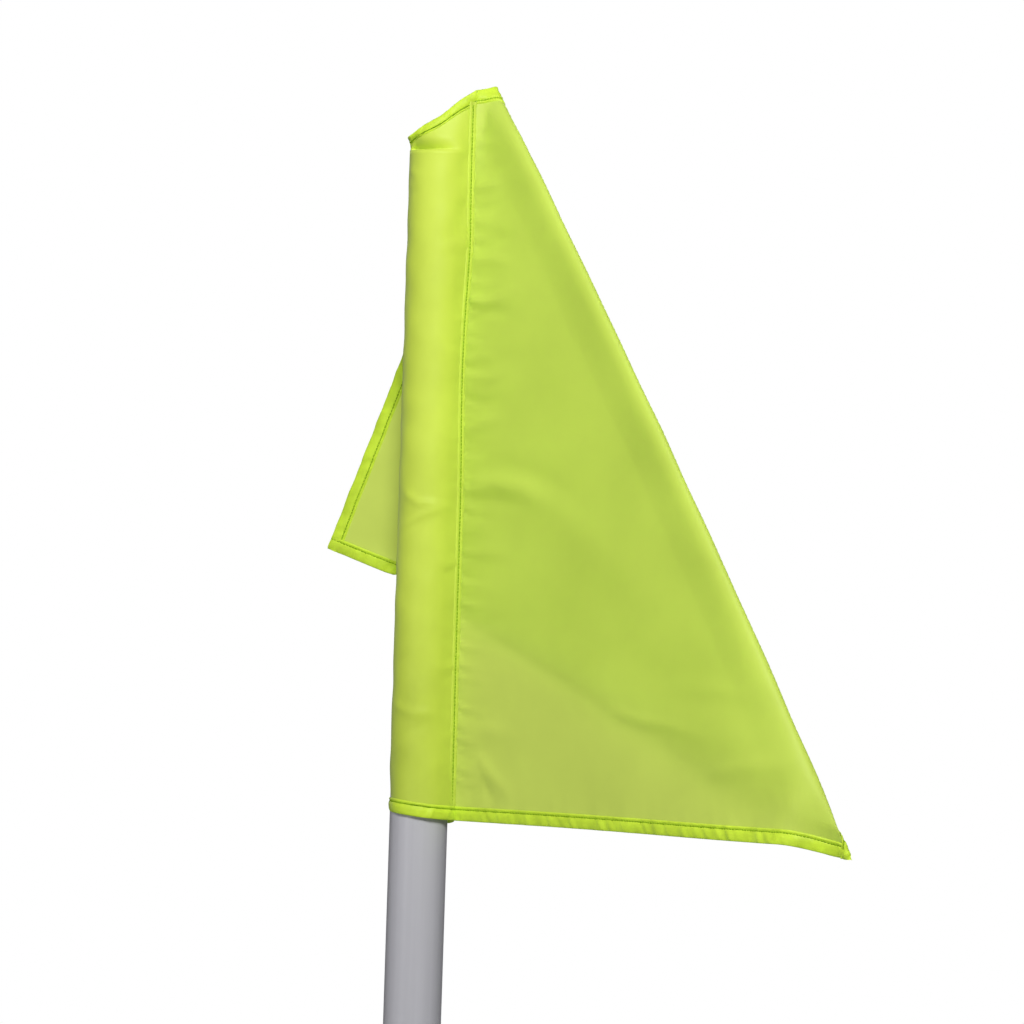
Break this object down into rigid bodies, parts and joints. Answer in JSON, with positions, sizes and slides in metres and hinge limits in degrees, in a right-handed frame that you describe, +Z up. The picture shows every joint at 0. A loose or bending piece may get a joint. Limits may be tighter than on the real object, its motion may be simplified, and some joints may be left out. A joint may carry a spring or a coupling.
{
  "type": "marker flag with pole",
  "caption": "Rectangular marker flag sewn to a pole sleeve, on a plastic pole with a coil spring and a ground spike.",
  "frame": {"origin": "on the pole's axis at ground level, where the spike leaves the step plate's underside", "axes": "+Z up the pole, +X towards the flag's fly, +Y to the back, where the flag's upper corner hangs down"},
  "size_m": [0.3349, 0.288, 1.741],
  "materials": {
    "galvanised_steel": "zinc plated, dull",
    "plate_paint": "satin powder coat",
    "plug_plastic": "moulded, matt",
    "spring_steel": "drawn wire, oiled",
    "pole_plastic": "extruded, satin white-grey",
    "cap_plastic": "moulded, satin",
    "flag_cloth": "fluorescent yellow-green, thin woven synthetic",
    "hem_cloth": "fluorescent yellow-green, doubled and stitched"
  },
  "bodies": {
    "base": {"ground_spike": "galvanised_steel", "step_plate": "plate_paint", "lower_plug": "plug_plastic", "spike_washer": "galvanised_steel", "spike_nut": "galvanised_steel", "coil_spring": "spring_steel"},
    "pole": {"upper_plug": "plug_plastic", "pole_bolt": "galvanised_steel", "pole_bolt_washers": "galvanised_steel", "pole_bolt_nut": "galvanised_steel", "pole_tube": "pole_plastic", "pole_cap": "cap_plastic"},
    "sleeve": {"flag_sleeve": "flag_cloth", "sleeve_top_hem": "hem_cloth", "sleeve_foot_hem": "hem_cloth", "hoist_seam": "hem_cloth"},
    "fly": {"front_panel": "flag_cloth", "rear_panel": "flag_cloth", "top_hem": "hem_cloth", "fly_hem": "hem_cloth", "foot_hem": "hem_cloth"}
  },
  "joints": [
    {"name": "spring_bend", "type": "hinge", "parent": "base", "child": "pole", "pos_m": [0, 0, 0.0697], "axis": [0, 1, 0], "range_deg": [-60, 60], "stiffness_Nm_per_rad": 40, "deforming": ["coil_spring"]},
    {"name": "flag_turn", "type": "hinge", "parent": "pole", "child": "sleeve", "pos_m": [0, 0, 1.28], "axis": [0, 0, 1], "continuous": true},
    {"name": "fly_swing", "type": "hinge", "parent": "sleeve", "child": "fly", "pos_m": [0.0225, -0.006, 1.28], "axis": [0, 0, 1], "range_deg": [-60, 0]}
  ]
}
